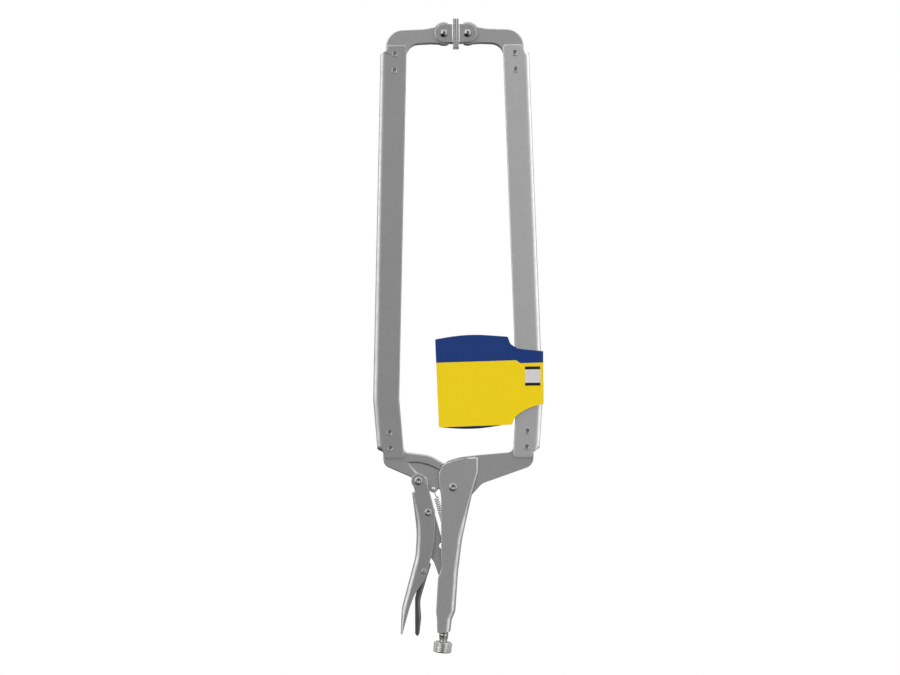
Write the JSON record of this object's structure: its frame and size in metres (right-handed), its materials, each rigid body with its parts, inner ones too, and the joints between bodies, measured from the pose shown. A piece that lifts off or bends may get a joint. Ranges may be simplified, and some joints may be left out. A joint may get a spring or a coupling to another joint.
{
  "type": "locking C clamp",
  "caption": "Deep-reach locking C clamp: long sheet-metal arms with swivelling pads, closed by an over-centre lever with a screw-adjusted grip and a release lever.",
  "frame": {"origin": "clamping point, midway between the two pad faces on the line of the pad rivets", "axes": "+Z from the handle end towards the pads, along the arms; +X across the throat from the movable arm to the fixed arm; +Y through the thickness"},
  "size_m": [0.1633, 0.0212, 0.6083],
  "materials": {
    "handle_sheet": "satin nickel-plated pressed sheet steel, fine even grain",
    "arm_sheet": "satin nickel-plated pressed sheet steel, fine even grain",
    "lever_sheet": "satin nickel-plated pressed sheet steel, fine even grain",
    "jaw_forging": "satin nickel-plated forged steel, slightly mottled",
    "pad_sheet": "satin nickel-plated pressed sheet steel",
    "link_steel": "plated steel, darker and duller than the handles",
    "pivot_rivets": "semi-bright plated rivet heads",
    "pad_rivets": "bright polished domed rivet heads",
    "channel_rivets": "satin plated, nearly flush rivet heads",
    "spring_wire": "drawn spring wire",
    "screw_steel": "turned and plated steel, knurled at the knob",
    "card_board": "semi-gloss printed paperboard, yellow with a dark blue band, no lettering"
  },
  "bodies": {
    "fixed_frame": {"fixed_handle": "handle_sheet", "fixed_jaw_arm": "jaw_forging", "fixed_arm_channel": "arm_sheet", "fixed_arm_tip": "jaw_forging", "fixed_channel_rivets": "channel_rivets", "main_pivot_rivet": "pivot_rivets", "fixed_pad_rivet": "pad_rivets", "return_spring": "spring_wire", "hang_card": "card_board"},
    "adjusting_screw": {"adjusting_screw": "screw_steel"},
    "movable_jaw": {"movable_jaw_arm": "jaw_forging", "movable_arm_channel": "arm_sheet", "movable_arm_tip": "jaw_forging", "movable_channel_rivets": "channel_rivets", "movable_pad_rivet": "pad_rivets"},
    "fixed_pad": {"fixed_pad": "pad_sheet"},
    "movable_pad": {"movable_pad": "pad_sheet"},
    "lever": {"lever_handle": "lever_sheet", "lever_jaw_rivet": "pivot_rivets", "lever_link_rivet": "pivot_rivets", "release_rivet": "pivot_rivets"},
    "toggle_link": {"toggle_link": "link_steel"},
    "release_lever": {"release_lever": "lever_sheet"}
  },
  "joints": [
    {"name": "jaw_pivot", "type": "hinge", "parent": "fixed_frame", "child": "movable_jaw", "pos_m": [-0.0067, 0, -0.4346], "axis": [0, -1, 0], "range_deg": [0, 34], "deforming": ["return_spring"]},
    {"name": "lever_pivot", "type": "hinge", "parent": "movable_jaw", "child": "lever", "pos_m": [-0.0397, 0, -0.4283], "axis": [0, -1, 0], "range_deg": [-87, 0]},
    {"name": "link_pivot", "type": "hinge", "parent": "lever", "child": "toggle_link", "pos_m": [-0.0307, 0, -0.4584], "axis": [0, -1, 0], "range_deg": [0, 79]},
    {"name": "release_lever_pivot", "type": "hinge", "parent": "lever", "child": "release_lever", "pos_m": [-0.0353, 0, -0.5149], "axis": [0, 1, 0], "range_deg": [0, 8]},
    {"name": "screw_travel", "type": "slide", "parent": "fixed_frame", "child": "adjusting_screw", "axis": [-0.0965, 0, -0.9953], "range_m": [0, 0.016]},
    {"name": "fixed_pad_swivel", "type": "hinge", "parent": "fixed_frame", "child": "fixed_pad", "pos_m": [0.0113, 0, 0], "axis": [0, -1, 0], "range_deg": [-1, 18]},
    {"name": "movable_pad_swivel", "type": "hinge", "parent": "movable_jaw", "child": "movable_pad", "pos_m": [-0.0113, 0, 0], "axis": [0, -1, 0], "range_deg": [-18, 1]}
  ],
  "couplings": [
    {"joint": "lever_pivot", "follows": "jaw_pivot", "ratio": -2.538},
    {"joint": "link_pivot", "follows": "jaw_pivot", "ratio": 2.312},
    {"joint": "fixed_pad_swivel", "follows": "jaw_pivot", "ratio": 0.5},
    {"joint": "movable_pad_swivel", "follows": "jaw_pivot", "ratio": -0.5}
  ]
}
